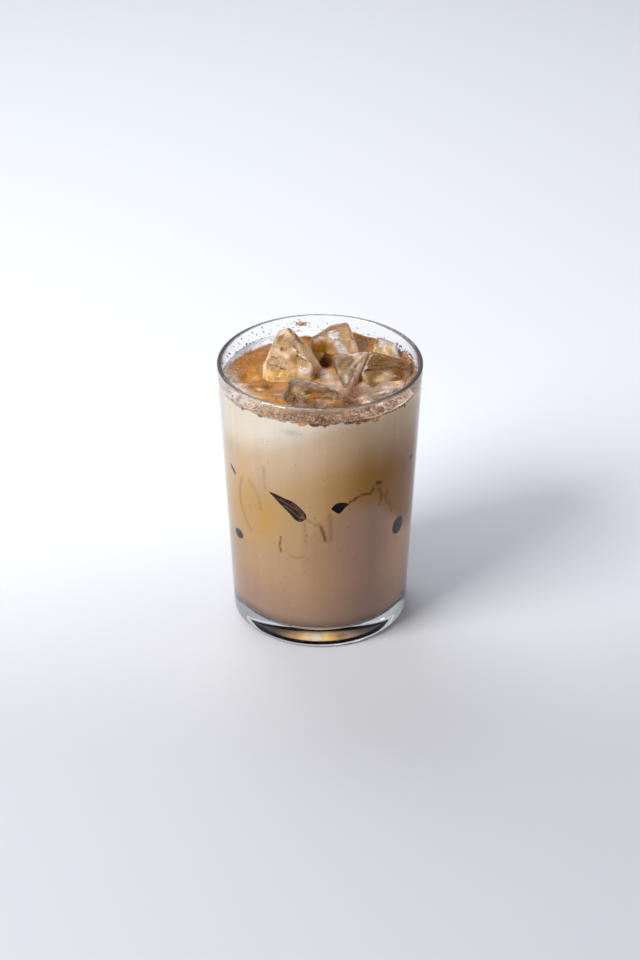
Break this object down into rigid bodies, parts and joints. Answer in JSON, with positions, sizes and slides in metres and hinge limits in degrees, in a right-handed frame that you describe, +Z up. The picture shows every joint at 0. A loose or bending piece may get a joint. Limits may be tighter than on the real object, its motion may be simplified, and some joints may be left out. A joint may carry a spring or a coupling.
{
  "type": "iced latte in a glass tumbler",
  "caption": "Iced milk coffee in a clear tapered tumbler with a thick foot: soft brown layers, cinnamon lying on the milk, and clear melting ice standing above it.",
  "frame": {"origin": "middle of the glass's underside, on the surface that it stands on", "axes": "+Z up through the middle of the glass; -Y is the front that the picture shows; +X is to the right of that front"},
  "size_m": [0.086, 0.086, 0.1282],
  "materials": {
    "clear_glass": "clear, polished",
    "brown_milk": "milky coffee, opaque, wet",
    "coffee": "coffee with milk, opaque, wet",
    "spiced_milk": "milk with ground cinnamon on it",
    "ice": "clear, wet, melting"
  },
  "bodies": {
    "root": {"glass": "clear_glass", "lower_milk_coffee": "brown_milk", "upper_coffee": "coffee", "cinnamon_milk": "spiced_milk", "ice_peak": "ice", "ice_back": "ice", "ice_tooth": "ice", "ice_slab": "ice", "ice_front": "ice", "ice_corner": "ice", "ice_low_right": "ice"}
  },
  "joints": []
}
